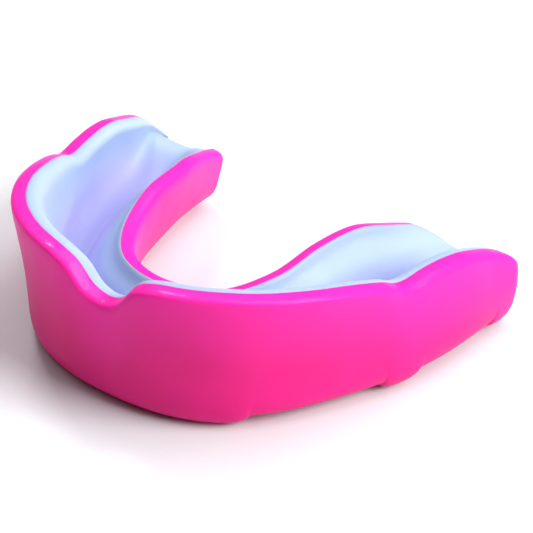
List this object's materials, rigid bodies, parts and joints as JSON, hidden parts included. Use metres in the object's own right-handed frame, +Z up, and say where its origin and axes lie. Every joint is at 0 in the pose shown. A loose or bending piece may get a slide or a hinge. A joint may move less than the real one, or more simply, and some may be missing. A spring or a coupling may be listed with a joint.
{
  "type": "mouthguard",
  "caption": "U-shaped sports mouthguard: a tough outer shell with low bite pads and a soft gel liner with a channel for the upper teeth.",
  "frame": {"origin": "under the middle of the guard's bounding box, on the plane that the bite pads stand on", "axes": "+X to the wearer's left, along the guard's width; -Y towards the lips and +Y towards the rear ends of the arms; +Z up, out of the channel"},
  "size_m": [0.0646, 0.05, 0.0204],
  "materials": {
    "shell_eva": "glossy",
    "liner_gel": "satin"
  },
  "bodies": {
    "root": {"outer_shell": "shell_eva", "gel_liner": "liner_gel"}
  },
  "joints": []
}
